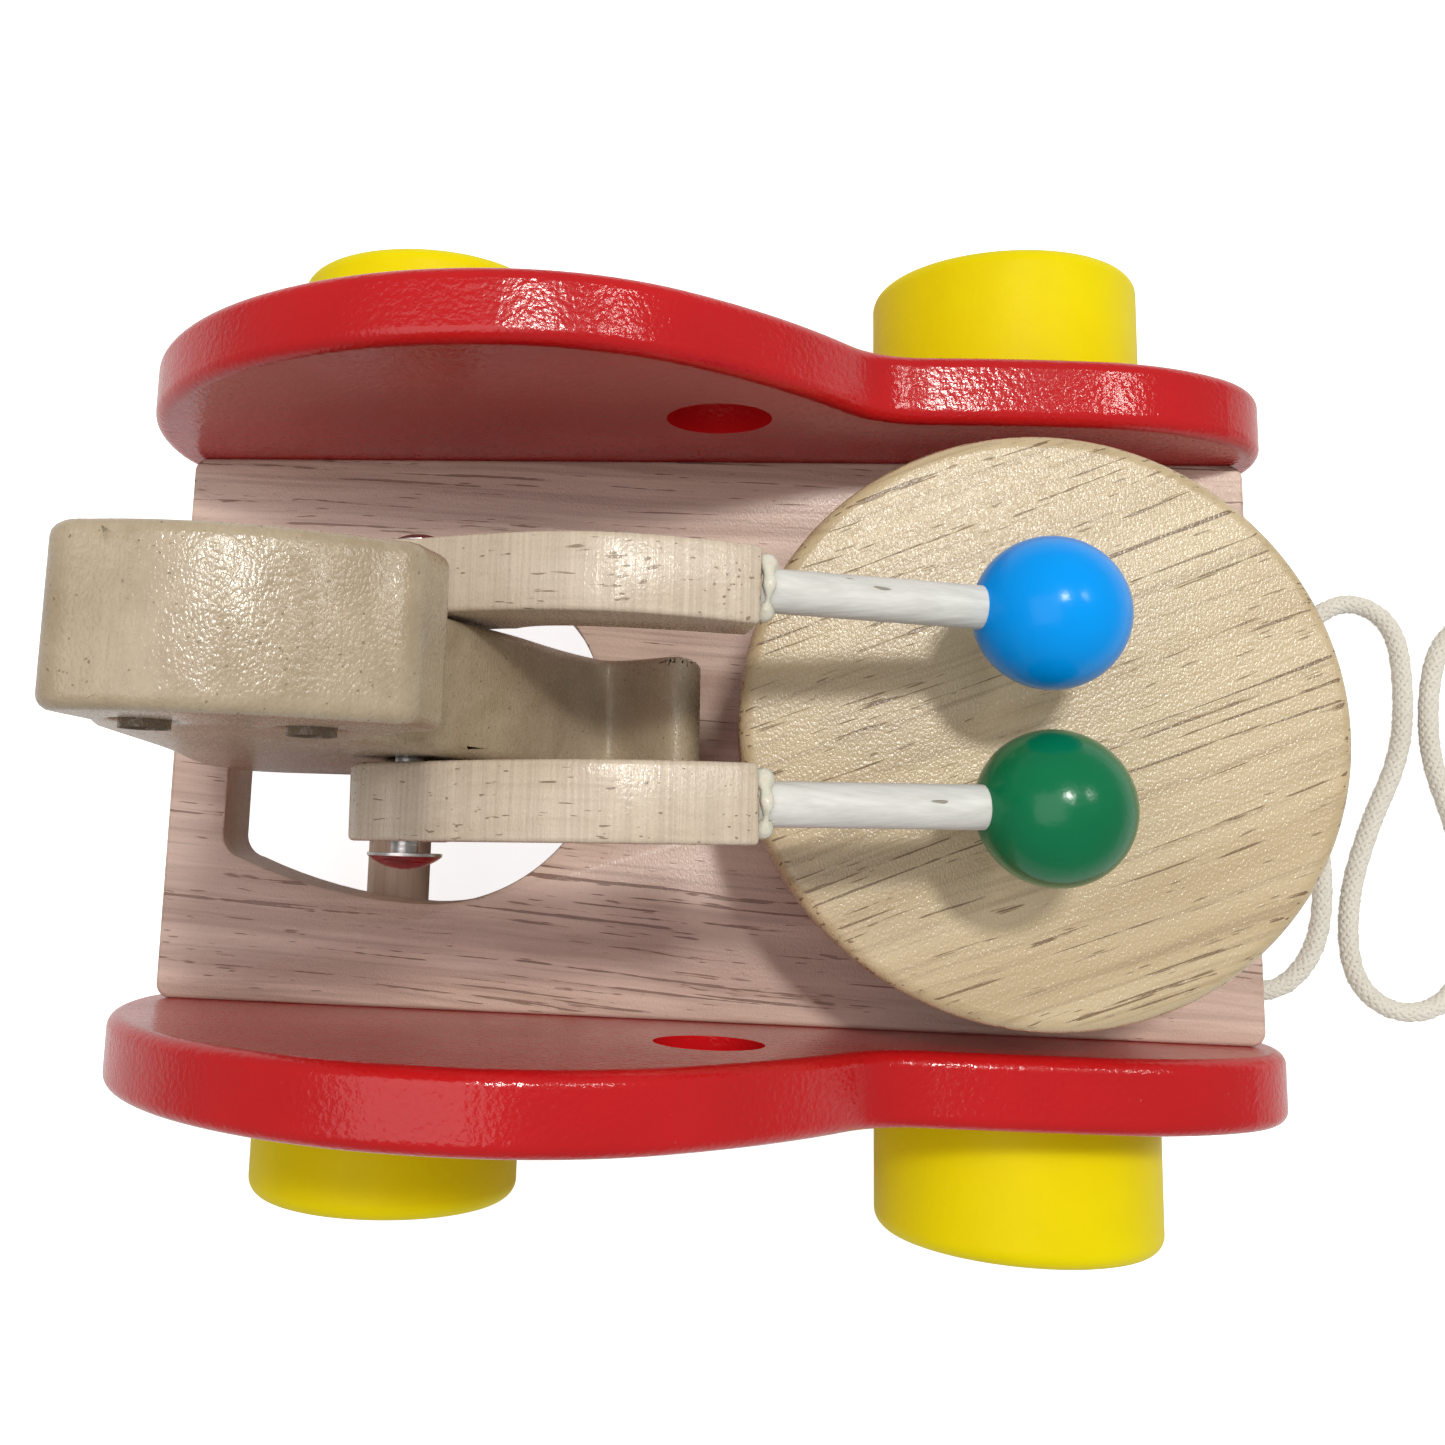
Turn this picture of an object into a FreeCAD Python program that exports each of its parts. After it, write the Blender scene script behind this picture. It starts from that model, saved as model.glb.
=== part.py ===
import FreeCAD, Part
import math
import os

# A wooden pull-along drummer: a seated figure swings two sticks over a drum as the toy rolls.
# Units are millimetres. +X points the way the toy is pulled, +Y to its left, +Z up.
# The origin is on the ground, half way along the base plate and half way across all four
# wheels. The pieces are drawn about the plate's middle plane and moved there by save().

# ---------------------------------------------------------------- driving dimensions
BASE_LENGTH = 192.0
BASE_WIDTH = 100.0
BASE_THICK = 15.0
BASE_CORNER = 2.5          # rounding of the plate's upright corners
EDGE_EASE = 0.8            # sanded edges of plain wooden pieces

WHEEL_RADIUS = 25.0
WHEEL_WIDTH = 24.0
WHEEL_RIM = 3.0            # rounding of a wheel's outer rim
WHEEL_INNER_RIM = 1.2
WHEEL_SIDE_GAP = 3.3       # between a wheel and its panel, when the wheel set is in the middle
FLOAT_FRONT = 1.8          # how far each wheel set has slid towards +Y
FLOAT_REAR = 3.0
FRONT_AXLE_X = 58.9
REAR_AXLE_X = -57.2
AXLE_RADIUS = 6.0
AXLE_UNDER_BASE = 1.5      # gap between an axle and the underside of the plate
AXLE_RECESS = 1.5          # how far an axle stops inside the wheel's face
BEARING_GAP = 0.08         # play of an axle in its side panel, all round

PANEL_THICK = 11.5
PANEL_ROUND = 2.2          # rounded rim of a side panel
PANEL_OVERHANG = 3.4       # how far a panel passes each end of the plate
PANEL_HUMP = 66.2          # height of the rear hump over the plate
PANEL_LOBE = 25.0          # height of the low front stretch over the plate
PANEL_GROUND = 15.0        # height of the panel's bottom edge over the ground
PEEP_RADIUS = 8.7          # round hole in each panel
PEEP_X = 3.4
PEEP_HEIGHT = 27.1

OPENING_REAR = -85.2       # the opening in the plate, over the rear axle
OPENING_BOW_X = -47.5
OPENING_BOW = 31.7         # radius of its wide front end
OPENING_REAR_HALF = 24.3
OPENING_CORNER = 3.5

FIGURE_THICK = 18.6
MARK_RADIUS = 2.7          # round marks drilled in the sides of the head
MARK_DEPTH = 0.8

PIN_X = -39.0              # shoulder pin
PIN_HEIGHT = 60.0
PIN_RADIUS = 2.0
PIN_GAP = 0.08             # play of an arm on the pin, all round
PIN_HEAD_RADIUS = 5.2
PIN_HEAD_RIM = 0.4         # straight rim of the pin's head and of its cap
PIN_HEAD_RISE = 1.9
PIN_HEAD_GAP = 1.6         # bare shank between the pin's head and the right arm
PIN_CAP_RADIUS = 4.0
PIN_CAP_RISE = 1.2
PIN_CAP_GAP = 0.45         # bare shank between the pressed cap and the left arm
PIN_CAP_GRIP = 0.8         # depth of the pin's end in its cap

ARM_THICK = 10.6
ARM_GAP = 0.8              # between the figure and an arm, at the pin
ARM_SPLAY = 1.2            # degrees by which the arms lean in towards the front
SHOULDER_RADIUS = 8.0
TAIL_WIDTH = 9.0
TAIL_TIP_X = -49.0
TAIL_TIP_HEIGHT = 38.5     # over the ground
HAND_X = 9.4
HAND_TOP = 70.8
HAND_BOTTOM = 59.6
ARM_CREST_X = -13.0
ARM_CREST = 77.0

STICK_RADIUS = 3.05
STICK_GRIP = 12.0          # length glued into the arm
STICK_IN_BEAD = 11.0
BEAD_RADIUS = 10.7
BEAD_X = 49.5
BEAD_HEIGHT = 57.4
BEAD_SIDE = 13.4           # distance of a bead's centre from the middle plane
STICK_SIDE = 14.3          # distance of a stick from the middle plane where it leaves the arm
STICK_HAND_HEIGHT = 67.0
GLUE_RADIUS = 3.9
GLUE_LENGTH = 1.3

DRUM_X = 52.8
DRUM_RADIUS = 45.6
DRUM_THICK = 15.0
DRUM_TOP = 34.6
DRUM_ROUND = 2.2
POST_RADIUS = 14.0

CAM_RADIUS = 9.0
CAM_OFFSET = 2.0
CAM_WIDTH = 9.0

SCREW_RADIUS = 2.0
SCREW_HEAD_RADIUS = 4.0
SCREW_SLOT = 1.0
SCREW_GAP = 0.2
FIGURE_SCREW_BITE = 14.0
DRUM_SCREW_BITE = 9.0
DOWEL_RADIUS = 4.0
DOWEL_IN_PANEL = 7.5
DOWEL_IN_BASE = 16.0
DOWEL_X = (-90.0, 0.0, 88.0)

CORD_RADIUS = 2.0
CORD_HOLE_RADIUS = 3.0
CORD_HOLE_X = 84.0
CORD_KNOT_RADIUS = 4.6
COIL_TURNS = 2             # side by side on the ground
COIL_TURN_RADIUS = 22.0    # at the middle of the coil's turns
COIL_X = 190.0
COIL_Y = 7.0
PULL_BEAD_RADIUS = 7.5
PULL_BEAD_BORE = 2.5
PULL_BEAD_X = 188.6
PULL_BEAD_Y = 6.8
END_KNOT_RADIUS = 3.6

# ---------------------------------------------------------------- levels worked out from those
AXLE_Z = WHEEL_RADIUS
BASE_BOTTOM = AXLE_Z + AXLE_RADIUS + AXLE_UNDER_BASE
BASE_TOP = BASE_BOTTOM + BASE_THICK
HALF_BASE = BASE_WIDTH / 2
HALF_FIGURE = FIGURE_THICK / 2
PIN_Z = BASE_TOP + PIN_HEIGHT
DRUM_Z = BASE_TOP + DRUM_TOP
ARM_SIDE = HALF_FIGURE + ARM_GAP + ARM_THICK / 2     # middle of an arm, at the pin
TRACK = BASE_WIDTH + 2 * (PANEL_THICK + WHEEL_SIDE_GAP + WHEEL_WIDTH)
MIDDLE_SHIFT = (FLOAT_FRONT + FLOAT_REAR) / 2        # from the plate's middle to the origin
UP = FreeCAD.Vector(0, 0, 1)
LEFT = FreeCAD.Vector(0, 1, 0)


def vec(x, y, z):
    return FreeCAD.Vector(x, y, z)


def save(name, shape):
    """Move one node into the toy's own frame, check that it is sound and write it."""
    shape = shape.copy()
    shape.translate(vec(0, -MIDDLE_SHIFT, 0))
    if not shape.isValid():
        raise RuntimeError(name + " is not a sound solid")
    shape.exportStep("parts/" + name + ".step")
    box = shape.BoundBox
    print(f"{name:18s} {len(shape.Solids)} solid(s) {shape.Volume / 1000:8.2f} cm3 "
          f"x {box.XMin:.1f}..{box.XMax:.1f} y {box.YMin:.1f}..{box.YMax:.1f} "
          f"z {box.ZMin:.1f}..{box.ZMax:.1f}")
    return shape


def extrude_y(edges, low, high):
    """Turn a closed outline drawn in the XZ plane into a board between two Y values."""
    face = Part.Face(Part.Wire(edges))
    face.translate(vec(0, low, 0))
    return face.extrude(vec(0, high - low, 0))


def line(a, b):
    return Part.LineSegment(a, b).toShape()


def arc(a, middle, b):
    return Part.Arc(a, middle, b).toShape()


def curve(points, start=None, end=None):
    """A smooth curve through points, with given directions at its ends."""
    spline = Part.BSplineCurve()
    if start is None:
        spline.interpolate(points)
    else:
        spline.interpolate(Points=points, InitialTangent=start, FinalTangent=end)
    return spline.toShape()


def cylinder_y(x, z, radius, low, high):
    return Part.makeCylinder(radius, high - low, vec(x, low, z), LEFT)


def rim_edges(solid, *levels):
    """The edges that lie wholly at one of the given Y values."""
    chosen = []
    for edge in solid.Edges:
        box = edge.BoundBox
        if any(abs(box.YMin - y) < 1e-4 and abs(box.YMax - y) < 1e-4 for y in levels):
            chosen.append(edge)
    return chosen


# ---------------------------------------------------------------- base plate and side panels
def opening_outline(z):
    """The keyhole-shaped opening: a narrow square rear end and a wide round front end."""
    bow = vec(OPENING_BOW_X, -OPENING_BOW, z)
    bow_left = vec(OPENING_BOW_X, OPENING_BOW, z)
    corner = OPENING_CORNER
    rear_low = vec(OPENING_REAR, -OPENING_REAR_HALF + corner * 1.2, z)
    rear_high = vec(OPENING_REAR, OPENING_REAR_HALF - corner * 1.2, z)
    flank_low = vec(OPENING_REAR + corner, -OPENING_REAR_HALF - corner * 0.1, z)
    flank_high = vec(OPENING_REAR + corner, OPENING_REAR_HALF + corner * 0.1, z)
    round_low = vec(OPENING_REAR + corner * 0.3, -OPENING_REAR_HALF + corner * 0.3, z)
    round_high = vec(OPENING_REAR + corner * 0.3, OPENING_REAR_HALF - corner * 0.3, z)
    span = OPENING_BOW_X - flank_low.x
    rise = OPENING_BOW - abs(flank_low.y)
    swell_low = vec(flank_low.x + span * 0.5, flank_low.y - rise * 0.74, z)
    swell_high = vec(swell_low.x, -swell_low.y, z)
    front = vec(OPENING_BOW_X + OPENING_BOW, 0, z)
    return [
        line(rear_high, rear_low),
        arc(rear_low, round_low, flank_low),
        arc(flank_low, swell_low, bow),
        arc(bow, front, bow_left),
        arc(bow_left, swell_high, flank_high),
        arc(flank_high, round_high, rear_high),
    ]


def opening_tool():
    face = Part.Face(Part.Wire(opening_outline(BASE_BOTTOM - 1)))
    return face.extrude(UP * (BASE_THICK + 2))


def base_plate():
    plate = Part.makeBox(BASE_LENGTH, BASE_WIDTH, BASE_THICK,
                         vec(-BASE_LENGTH / 2, -HALF_BASE, BASE_BOTTOM))
    uprights = [e for e in plate.Edges if e.BoundBox.ZLength > BASE_THICK - 0.01]
    plate = plate.makeFillet(BASE_CORNER, uprights)
    ends = []
    for edge in plate.Edges:
        box = edge.BoundBox
        flat = box.ZLength < 0.01
        at_end = abs(abs(edge.CenterOfMass.x) - BASE_LENGTH / 2) < 0.01
        if flat and at_end:
            ends.append(edge)
    plate = plate.makeFillet(EDGE_EASE, ends)
    plate = plate.cut(opening_tool())
    plate = plate.cut(Part.makeCylinder(CORD_HOLE_RADIUS, BASE_THICK + 2,
                                        vec(CORD_HOLE_X, 0, BASE_BOTTOM - 1)))
    for x, y in figure_screw_places() + [(DRUM_X, 0)]:
        plate = plate.cut(screw_clearance(x, y))
    return plate.cut(panel_dowels())


def tangent_arcs(points, heading):
    """Arcs through points, each one starting in the direction in which the last one ended."""
    edges = []
    for start, end in zip(points, points[1:]):
        chord = end - start
        length = chord.Length
        chord.normalize()
        half_turn = math.atan2(heading.z * chord.x - heading.x * chord.z, heading.dot(chord))
        sag = length / 2 * math.tan(half_turn / 2)
        side = vec(-chord.z, 0, chord.x)
        edges.append(arc(start, (start + end) * 0.5 + side * sag, end))
        heading = chord * (2 * heading.dot(chord)) - heading
    return edges


def panel_outline():
    """Wavy top edge with a tall rear hump, round ends and a flat bottom."""
    rear = -BASE_LENGTH / 2 - PANEL_OVERHANG
    front = BASE_LENGTH / 2 + PANEL_OVERHANG
    hump = BASE_TOP + PANEL_HUMP
    lobe = BASE_TOP + PANEL_LOBE
    top = [
        vec(rear, 0, BASE_TOP),
        vec(rear + 9.0, 0, hump - 33.7),
        vec(rear + 39.3, 0, hump - 6.3),
        vec(rear + 71.2, 0, hump - 0.3),
        vec(rear + 98.3, 0, hump - 9.8),
        vec(rear + 124.7, 0, lobe + 7.0),
        vec(rear + 137.0, 0, lobe + 1.1),
        vec(front - 33.4, 0, lobe - 0.8),
        vec(front - 10.8, 0, lobe - 9.8),
        vec(front, 0, BASE_TOP - 6.0),
    ]
    rear_foot = vec(rear + 20.0, 0, PANEL_GROUND)
    front_foot = vec(front - 18.0, 0, PANEL_GROUND)
    edges = tangent_arcs(top, UP)
    down = edges[-1].tangentAt(edges[-1].LastParameter)
    edges.append(curve([top[-1], vec(front - 4.6, 0, PANEL_GROUND + 8.8), front_foot],
                       down, vec(-1, 0, 0)))
    edges.append(line(front_foot, rear_foot))
    edges.append(curve([rear_foot, vec(rear + 5.0, 0, PANEL_GROUND + 13.0), top[0]],
                       vec(-1, 0, 0), vec(0, 0, 1)))
    return edges


def side_panel(side):
    low = min(side * HALF_BASE, side * (HALF_BASE + PANEL_THICK))
    high = low + PANEL_THICK
    board = extrude_y(panel_outline(), low, high)
    board = board.makeFillet(PANEL_ROUND, rim_edges(board, low, high))
    board = board.cut(cylinder_y(PEEP_X, BASE_TOP + PEEP_HEIGHT, PEEP_RADIUS, low - 1, high + 1))
    for x in (FRONT_AXLE_X, REAR_AXLE_X):
        board = board.cut(cylinder_y(x, AXLE_Z, AXLE_RADIUS + BEARING_GAP, low - 1, high + 1))
    return board.cut(panel_dowels())


def panel_dowels():
    """Hidden wooden dowels that hold the panels to the plate's long edges."""
    pins = []
    for side in (-1, 1):
        low = min(side * (HALF_BASE - DOWEL_IN_BASE), side * (HALF_BASE + DOWEL_IN_PANEL))
        for x in DOWEL_X:
            pins.append(cylinder_y(x, BASE_BOTTOM + BASE_THICK / 2, DOWEL_RADIUS,
                                   low, low + DOWEL_IN_BASE + DOWEL_IN_PANEL))
    return Part.makeCompound(pins)


# ---------------------------------------------------------------- wheels, axles and cams
def wheel(x, side, slide):
    outer = side * TRACK / 2 + slide
    inner = outer - side * WHEEL_WIDTH
    low, high = min(outer, inner), max(outer, inner)
    disc = cylinder_y(x, AXLE_Z, WHEEL_RADIUS, low, high)
    disc = disc.makeFillet(WHEEL_RIM, rim_edges(disc, outer))
    disc = disc.makeFillet(WHEEL_INNER_RIM, rim_edges(disc, inner))
    return disc.cut(cylinder_y(x, AXLE_Z, AXLE_RADIUS, low - 1, high + 1))


def axle(x, slide):
    reach = TRACK / 2 - AXLE_RECESS
    bar = cylinder_y(x, AXLE_Z, AXLE_RADIUS, slide - reach, slide + reach)
    return bar.makeChamfer(0.5, rim_edges(bar, slide - reach, slide + reach))


def cam(side):
    """A round disc set off-centre on the rear axle, below one arm's foot."""
    low = side * ARM_SIDE - CAM_WIDTH / 2
    disc = cylinder_y(REAR_AXLE_X + CAM_OFFSET, AXLE_Z, CAM_RADIUS, low, low + CAM_WIDTH)
    disc = disc.makeFillet(EDGE_EASE, rim_edges(disc, low, low + CAM_WIDTH))
    return disc.cut(cylinder_y(REAR_AXLE_X, AXLE_Z, AXLE_RADIUS, low - 1, low + CAM_WIDTH + 1))


# ---------------------------------------------------------------- the figure and its arms
def figure_outline():
    """Side view of the seated figure: feet, chest, jaw, head and straight back."""
    def at(x, height):
        return vec(x, 0, BASE_TOP + height)

    toe = [at(0.6, 26.0), at(0.2, 32.5), at(-1.9, 35.2), at(-6.4, 33.2), at(-14.0, 28.8)]
    chest = [at(-14.0, 28.8), at(-20.8, 43.4), at(-25.6, 57.0), at(-31.2, 69.0), at(-35.6, 82.5),
             at(-38.8, 91.2)]
    jaw_back = at(-38.6, 93.4)
    jaw_front = at(-26.6, 111.4)
    nose_low = at(-24.6, 115.0)
    nose_high = at(-25.6, 119.6)
    crown = [at(-28.6, 122.6), at(-37.5, 127.9), at(-47.5, 131.0), at(-57.0, 131.2)]
    nape_high = at(-62.0, 126.6)
    nape = at(-62.0, 116.5)
    back = [at(-65.0, 108.0), at(-68.6, 88.0), at(-73.6, 62.0), at(-80.4, 33.0)]
    rump = at(-82.0, 12.0)
    rump_low = at(-73.0, 0.0)
    heel = at(0.6, 0.0)
    return [
        line(heel, toe[0]),
        curve(toe),
        curve(chest),
        line(chest[-1], jaw_back),
        line(jaw_back, jaw_front),
        arc(jaw_front, at(-24.8, 112.9), nose_low),
        line(nose_low, nose_high),
        arc(nose_high, at(-26.6, 121.5), crown[0]),
        curve(crown),
        arc(crown[-1], at(-60.7, 129.9), nape_high),
        line(nape_high, nape),
        line(nape, back[0]),
        curve(back + [rump]),
        arc(rump, at(-80.0, 3.4), rump_low),
        line(rump_low, heel),
    ]


def figure_body():
    board = extrude_y(figure_outline(), -HALF_FIGURE, HALF_FIGURE)
    board = board.cut(cylinder_y(PIN_X, PIN_Z, PIN_RADIUS, -20, 20))
    for x, height in ((-54.6, 118.2), (-38.6, 112.6)):
        for side in (-1, 1):
            deep = side * (HALF_FIGURE - MARK_DEPTH)
            out = side * (HALF_FIGURE + 1)
            board = board.cut(cylinder_y(x, BASE_TOP + height, MARK_RADIUS,
                                         min(deep, out), max(deep, out)))
    for x, y in figure_screw_places():
        board = board.cut(Part.makeCylinder(SCREW_RADIUS, FIGURE_SCREW_BITE,
                                            vec(x, y, BASE_TOP - 0.01)))
    return board


def arm_outline():
    """An arched forearm, a round shoulder and a straight tail down to the cam."""
    pin = vec(PIN_X, 0, PIN_Z)
    tip = vec(TAIL_TIP_X, 0, TAIL_TIP_HEIGHT + TAIL_WIDTH / 2)
    down = tip - pin
    down.normalize()
    across = vec(-down.z, 0, down.x)              # points forwards
    half = TAIL_WIDTH / 2
    rear_hip = pin - across * half + down * math.sqrt(SHOULDER_RADIUS ** 2 - half ** 2)
    front_knee = pin + across * half + down * 14.0
    elbow = vec(PIN_X + 14.6, 0, BASE_TOP + 57.0)
    under = [elbow, vec(-19.6, 0, BASE_TOP + 61.0), vec(-12.0, 0, BASE_TOP + 62.2),
             vec(-1.0, 0, BASE_TOP + 61.2), vec(HAND_X - 1.4, 0, BASE_TOP + HAND_BOTTOM)]
    hand_low = under[-1]
    hand_high = vec(HAND_X, 0, BASE_TOP + HAND_TOP)
    crest = [hand_high, vec(1.6, 0, BASE_TOP + 74.3),
             vec(ARM_CREST_X, 0, BASE_TOP + ARM_CREST), vec(-27.0, 0, BASE_TOP + 73.6),
             vec(PIN_X, 0, PIN_Z + SHOULDER_RADIUS)]
    return [
        line(rear_hip, tip - across * half),
        arc(tip - across * half, tip + down * half, tip + across * half),
        line(tip + across * half, front_knee),
        arc(front_knee, (front_knee + elbow) * 0.5 + vec(-1.2, 0, 1.6), elbow),
        curve(under),
        line(hand_low, hand_high),
        curve(crest),
        arc(crest[-1], vec(PIN_X - SHOULDER_RADIUS, 0, PIN_Z), rear_hip),
    ]


def splay(shape, side):
    """Lean an arm in towards the front, about the shoulder pin."""
    turned = shape.copy()
    turned.rotate(vec(PIN_X, side * ARM_SIDE, PIN_Z), UP, -side * ARM_SPLAY)
    return turned


def stick_line(side):
    """Where a stick leaves the arm, and the unit vector along it."""
    start = vec(HAND_X, side * STICK_SIDE, BASE_TOP + STICK_HAND_HEIGHT)
    bead = vec(BEAD_X, side * BEAD_SIDE, BASE_TOP + BEAD_HEIGHT)
    along = bead - start
    along.normalize()
    return start, bead, along


def drumstick(side):
    start, bead, along = stick_line(side)
    first = start - along * STICK_GRIP
    length = (bead - first).Length - BEAD_RADIUS + STICK_IN_BEAD
    return Part.makeCylinder(STICK_RADIUS, length, first, along)


def arm(side):
    low = side * ARM_SIDE - ARM_THICK / 2
    high = low + ARM_THICK
    board = extrude_y(arm_outline(), low, high)
    board = splay(board, side)
    board = board.cut(cylinder_y(PIN_X, PIN_Z, PIN_RADIUS + PIN_GAP, low - 3, high + 3))
    return board.cut(drumstick(side))


def stick_bead(side):
    start, bead, along = stick_line(side)
    return Part.makeSphere(BEAD_RADIUS, bead).cut(drumstick(side))


def glue_collar(side):
    """The bead of dried glue round a stick where it enters the arm."""
    start, bead, along = stick_line(side)
    cone = Part.makeCone(GLUE_RADIUS, STICK_RADIUS + 0.25, GLUE_LENGTH + 0.6,
                         start - along * 0.6, along)
    cone = cone.cut(arm(side))
    cone = cone.cut(drumstick(side))
    return max(cone.Solids, key=lambda s: s.Volume)


def pin_dome(start, side, width, rise):
    """A domed cap with a short straight rim that starts at the given Y value."""
    face = start + side * PIN_HEAD_RIM
    radius = (width ** 2 + rise ** 2) / (2 * rise)
    ball = Part.makeSphere(radius, vec(PIN_X, face - side * (radius - rise), PIN_Z))
    low, high = min(face, face + side * 5), max(face, face + side * 5)
    dome = ball.common(cylinder_y(PIN_X, PIN_Z, width, low, high))
    rim = cylinder_y(PIN_X, PIN_Z, width, min(start, face), max(start, face))
    return dome.fuse(rim).removeSplitter()


def pin_places():
    """Y values where the pin's head, on the right, and its cap, on the left, start."""
    arm_face = ARM_SIDE + ARM_THICK / 2
    return -arm_face - PIN_HEAD_GAP, arm_face + PIN_CAP_GAP


def shoulder_pin():
    """Steel pin with a head on its right end; the left end carries a pressed cap."""
    head, cap = pin_places()
    shank = cylinder_y(PIN_X, PIN_Z, PIN_RADIUS, head - 0.01, cap + PIN_CAP_GRIP)
    return shank.fuse(pin_dome(head, -1, PIN_HEAD_RADIUS, PIN_HEAD_RISE)).removeSplitter()


def pin_cap():
    return pin_dome(pin_places()[1], 1, PIN_CAP_RADIUS, PIN_CAP_RISE).cut(shoulder_pin())


# ---------------------------------------------------------------- drum and fixings
def drum_disc():
    disc = Part.makeCylinder(DRUM_RADIUS, DRUM_THICK, vec(DRUM_X, 0, DRUM_Z - DRUM_THICK))
    rims = [e for e in disc.Edges if e.BoundBox.ZLength < 0.01]
    disc = disc.makeFillet(DRUM_ROUND, rims)
    return disc.cut(Part.makeCylinder(SCREW_RADIUS, DRUM_SCREW_BITE,
                                      vec(DRUM_X, 0, DRUM_Z - DRUM_THICK)))


def drum_post():
    height = DRUM_TOP - DRUM_THICK
    post = Part.makeCylinder(POST_RADIUS, height, vec(DRUM_X, 0, BASE_TOP))
    return post.cut(Part.makeCylinder(SCREW_RADIUS, height, vec(DRUM_X, 0, BASE_TOP)))


def figure_screw_places():
    return [(-8.0, -5.0), (-8.0, 5.0)]


def screw(x, y, tip):
    """A countersunk wood screw driven up from under the plate."""
    head = Part.makeCone(SCREW_HEAD_RADIUS, SCREW_RADIUS, SCREW_HEAD_RADIUS - SCREW_RADIUS,
                         vec(x, y, BASE_BOTTOM))
    shank_low = BASE_BOTTOM + SCREW_HEAD_RADIUS - SCREW_RADIUS
    point = 4.0
    shank = Part.makeCylinder(SCREW_RADIUS, tip - point - shank_low, vec(x, y, shank_low))
    cone = Part.makeCone(SCREW_RADIUS, 0.3, point, vec(x, y, tip - point))
    slot = Part.makeBox(6.0, 1.0, SCREW_SLOT, vec(x - 3.0, y - 0.5, BASE_BOTTOM))
    cross = Part.makeBox(1.0, 6.0, SCREW_SLOT, vec(x - 0.5, y - 3.0, BASE_BOTTOM))
    return head.fuse([shank, cone]).removeSplitter().cut(slot.fuse(cross))


def screw_clearance(x, y):
    """The countersunk hole that a screw needs in the plate."""
    rise = SCREW_HEAD_RADIUS - SCREW_RADIUS
    sink = Part.makeCone(SCREW_HEAD_RADIUS + SCREW_GAP, SCREW_RADIUS + SCREW_GAP, rise,
                         vec(x, y, BASE_BOTTOM))
    bore = Part.makeCylinder(SCREW_RADIUS + SCREW_GAP, BASE_THICK + 2, vec(x, y, BASE_BOTTOM - 1))
    return sink.fuse(bore)


def figure_screws():
    tip = BASE_TOP + FIGURE_SCREW_BITE - 1.0
    return Part.makeCompound([screw(x, y, tip) for x, y in figure_screw_places()])


def drum_screw():
    tip = DRUM_Z - DRUM_THICK + DRUM_SCREW_BITE - 1.0
    return screw(DRUM_X, 0, tip)


# ---------------------------------------------------------------- pull cord
# It comes down through the plate, lies in loose loops ahead of the toy, and is wound up.
FLOOR = CORD_RADIUS + 0.1
CORD_POINTS = [
    (84.0, 0.0, 32.5),
    (84.0, 0.0, 20.0),
    (84.8, -6.0, 8.0),
    (87.5, -18.0, FLOOR),
    (91.0, -31.0, FLOOR),
    (100.0, -42.0, FLOOR),
    (112.5, -45.4, FLOOR),
    (120.4, -39.0, FLOOR),
    (123.9, -28.0, FLOOR),
    (123.2, -10.0, FLOOR),
    (121.6, 8.0, FLOOR),
    (122.2, 20.0, FLOOR),
    (122.8, 29.4, FLOOR),
    (131.6, 34.3, FLOOR),
    (140.2, 29.0, FLOOR),
    (141.2, 15.0, FLOOR),
    (139.6, 2.0, FLOOR),
    (133.0, -11.5, FLOOR),
    (128.1, -26.5, FLOOR),
    (128.0, -40.6, FLOOR),
    (134.2, -47.3, FLOOR),
    (143.0, -47.1, FLOOR),
    (149.3, -40.6, FLOOR),
    (151.4, -28.0, FLOOR),
    (149.8, -13.0, FLOOR),
    (145.3, 1.5, FLOOR),
    (145.5, 14.0, FLOOR),
    (148.2, 25.4, FLOOR),
    (156.0, 31.6, FLOOR),
    (167.0, 34.6, FLOOR),
    (179.0, 34.9, FLOOR),
    (190.0, 33.0, FLOOR),
]
TAIL_POINTS = [
    (190.0, 25.0, FLOOR),
    (196.2, 23.6, FLOOR),
    (200.4, 18.2, 2.6),
    (200.4, 11.8, 4.4),
    (195.8, 7.5, 6.6),
    (188.6, 6.8, 7.5),
    (180.8, 6.9, 6.6),
]


def cord_path(route):
    """Straight runs joined by tangent arcs through the chosen points."""
    points = [vec(*p) for p in route]
    edges = []
    radii = []
    last = points[0]
    for before, corner, after in zip(points, points[1:], points[2:]):
        come = corner - before
        leave = after - corner
        reach = 0.45 * min(come.Length, leave.Length)
        come.normalize()
        leave.normalize()
        half_turn = come.getAngle(leave) / 2
        radius = reach / math.tan(half_turn)
        inward = leave - come
        inward.normalize()
        start = corner - come * reach
        end = corner + leave * reach
        middle = corner + inward * (radius / math.cos(half_turn) - radius)
        edges.append(line(last, start))
        edges.append(arc(start, middle, end))
        radii.append(radius)
        last = end
    edges.append(line(last, points[-1]))
    print("arc radii", [round(r, 1) for r in radii])
    return Part.Wire(edges)


def cord_tube(route):
    path = cord_path(route)
    first, second = vec(*route[0]), vec(*route[1])
    ring = Part.Wire(Part.makeCircle(CORD_RADIUS, first, second - first))
    tube = path.makePipeShell([ring], True, False)
    expected = math.pi * CORD_RADIUS ** 2 * path.Length
    print("length", round(path.Length, 1), "volume against section x length",
          round(tube.Volume / expected, 4))
    return tube


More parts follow.
